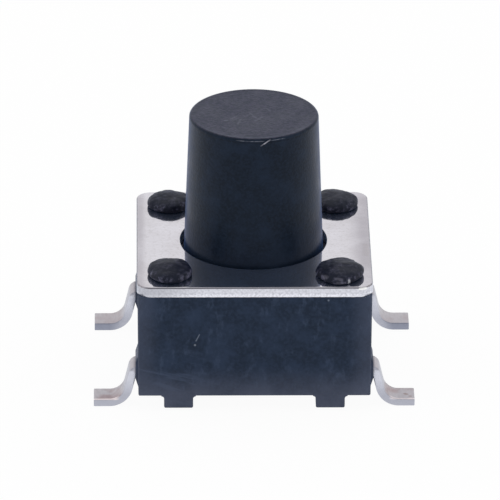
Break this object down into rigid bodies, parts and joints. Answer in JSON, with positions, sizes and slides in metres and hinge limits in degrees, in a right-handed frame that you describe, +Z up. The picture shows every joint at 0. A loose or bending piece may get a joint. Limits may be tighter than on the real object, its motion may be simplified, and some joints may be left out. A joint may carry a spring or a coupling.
{
  "type": "tactile push button switch",
  "caption": "Square surface-mount tactile switch: moulded housing with gull-wing leads, metal cover plate held by melted stakes, and a tall round tapered button.",
  "frame": {"origin": "centre of the switch on the plane of the four lead soles, which is the board", "axes": "+Z up along the button, +X from lead tip to lead tip, +Y from front to back"},
  "size_m": [0.0082, 0.006, 0.007],
  "materials": {
    "housing_plastic": "moulded, matte blue-black",
    "button_plastic": "moulded, matte blue-black",
    "terminal_metal": "satin tin plating over stamped copper alloy",
    "dome_steel": "thin rolled stainless sheet",
    "cover_steel": "semi-bright sheet with grainy sheared edges"
  },
  "bodies": {
    "switch_body": {"housing": "housing_plastic", "front_terminal": "terminal_metal", "rear_terminal": "terminal_metal", "contact_dome": "dome_steel", "cover_plate": "cover_steel"},
    "push_button": {"button": "button_plastic"}
  },
  "joints": [
    {"name": "button_press", "type": "slide", "parent": "switch_body", "child": "push_button", "axis": [0, 0, -1], "range_m": [0, 0.00025], "stiffness_N_per_m": 6400, "deforming": ["contact_dome"]}
  ]
}
